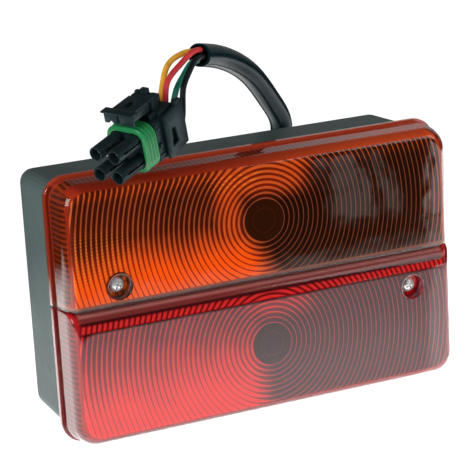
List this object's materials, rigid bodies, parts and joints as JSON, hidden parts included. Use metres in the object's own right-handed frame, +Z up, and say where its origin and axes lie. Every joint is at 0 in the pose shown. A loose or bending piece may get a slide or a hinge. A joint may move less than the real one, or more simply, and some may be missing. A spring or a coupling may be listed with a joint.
{
  "type": "trailer tail light",
  "caption": "Rectangular two-colour trailer tail light: amber over red fluted cover on a deep dark tub, with a short sleeved cable to a sealed tower connector.",
  "frame": {"origin": "centre of the housing's flat back, which is screwed to the vehicle", "axes": "+X along the lamp's width, to the right seen from the front; -Y out through the lens; +Z up"},
  "size_m": [0.16, 0.0957, 0.1392],
  "materials": {
    "housing_plastic": "fine matte moulding",
    "gasket_rubber": "matt",
    "amber_lens": "clear amber, fluted inside",
    "red_lens": "clear red, fluted inside",
    "zinc_steel": "zinc plated",
    "white_plastic": "satin",
    "brass": "nickelled brass",
    "board": "phenolic board",
    "sleeve_plastic": "soft glossy sleeve",
    "connector_plastic": "satin moulding",
    "green_seal": "silicone",
    "bulb_glass": "clear",
    "filament_steel": "drawn wire",
    "base_insulation": "black glass",
    "yellow_wire": "satin insulation",
    "red_wire": "satin insulation",
    "green_wire": "satin insulation",
    "black_wire": "satin insulation"
  },
  "bodies": {
    "lamp_base": {"housing": "housing_plastic", "lens_gasket": "gasket_rubber", "chamber_divider": "white_plastic", "bulb_carrier": "zinc_steel", "holder_shell_amber": "brass", "holder_shell_red": "brass", "holder_board_amber": "board", "holder_board_red": "board", "cable_grommet": "gasket_rubber", "cable_sleeve": "sleeve_plastic", "connector_body": "connector_plastic", "connector_seal": "green_seal", "wire_yellow": "yellow_wire", "lead_yellow": "yellow_wire", "terminal_yellow": "zinc_steel", "cable_seal_yellow": "green_seal", "wire_red": "red_wire", "lead_red": "red_wire", "terminal_red": "zinc_steel", "cable_seal_red": "green_seal", "wire_green": "green_wire", "lead_green": "green_wire", "terminal_green": "zinc_steel", "cable_seal_green": "green_seal", "wire_black": "black_wire", "lead_black": "black_wire", "terminal_black": "zinc_steel", "cable_seal_black": "green_seal"},
    "cover": {"lens_amber": "amber_lens", "lens_red": "red_lens"},
    "screw_amber": {"lens_screw_amber": "zinc_steel"},
    "screw_red": {"lens_screw_red": "zinc_steel"},
    "bulb_amber": {"bulb_amber_cap": "brass", "bulb_amber_glass": "bulb_glass", "bulb_amber_filament": "filament_steel", "bulb_amber_base": "base_insulation"},
    "bulb_red": {"bulb_red_cap": "brass", "bulb_red_glass": "bulb_glass", "bulb_red_filament": "filament_steel", "bulb_red_base": "base_insulation"},
    "contact_turn": {"contact_turn": "brass"},
    "contact_stop": {"contact_stop": "brass"},
    "contact_tail": {"contact_tail": "brass"},
    "latch": {"connector_latch": "connector_plastic"},
    "lock_right": {"connector_lock_right": "connector_plastic"},
    "lock_left": {"connector_lock_left": "connector_plastic"}
  },
  "joints": [
    {"name": "cover_lifts_off", "type": "slide", "parent": "lamp_base", "child": "cover", "axis": [0, -1, 0], "range_m": [0, 0.022]},
    {"name": "screw_amber_turns", "type": "hinge", "parent": "cover", "child": "screw_amber", "pos_m": [-0.0586, -0.046, 0.0099], "axis": [0, -1, 0], "continuous": true},
    {"name": "screw_red_turns", "type": "hinge", "parent": "cover", "child": "screw_red", "pos_m": [0.0604, -0.047, -0.0112], "axis": [0, -1, 0], "continuous": true},
    {"name": "bulb_amber_twist", "type": "hinge", "parent": "lamp_base", "child": "bulb_amber", "pos_m": [0, -0.024, 0.0248], "axis": [1, 0, 0], "range_deg": [0, 18]},
    {"name": "bulb_red_twist", "type": "hinge", "parent": "lamp_base", "child": "bulb_red", "pos_m": [0, -0.024, -0.0227], "axis": [1, 0, 0], "range_deg": [0, 18]},
    {"name": "contact_turn_flex", "type": "hinge", "parent": "lamp_base", "child": "contact_turn", "pos_m": [-0.0422, -0.0299, 0.0248], "axis": [0, 0, 1], "range_deg": [0, 6], "stiffness_Nm_per_rad": 0.0005},
    {"name": "contact_tail_flex", "type": "hinge", "parent": "lamp_base", "child": "contact_tail", "pos_m": [-0.0422, -0.0299, -0.0198], "axis": [0, 0, 1], "range_deg": [0, 6], "stiffness_Nm_per_rad": 0.0005},
    {"name": "contact_stop_flex", "type": "hinge", "parent": "lamp_base", "child": "contact_stop", "pos_m": [-0.0422, -0.0299, -0.0256], "axis": [0, 0, 1], "range_deg": [0, 6], "stiffness_Nm_per_rad": 0.0005},
    {"name": "latch_flex", "type": "hinge", "parent": "lamp_base", "child": "latch", "pos_m": [-0.04587, -0.04991, 0.07676], "axis": [-0.4903, 0.8689, 0.0674], "range_deg": [0, 8], "stiffness_Nm_per_rad": 0.004},
    {"name": "lock_right_hinge", "type": "hinge", "parent": "lamp_base", "child": "lock_right", "pos_m": [-0.03858, -0.05536, 0.06214], "axis": [0.1939, 0.1842, -0.9636], "range_deg": [0, 100]},
    {"name": "lock_left_hinge", "type": "hinge", "parent": "lamp_base", "child": "lock_left", "pos_m": [-0.0477, -0.0392, 0.06339], "axis": [-0.1939, -0.1842, 0.9636], "range_deg": [0, 100]}
  ]
}
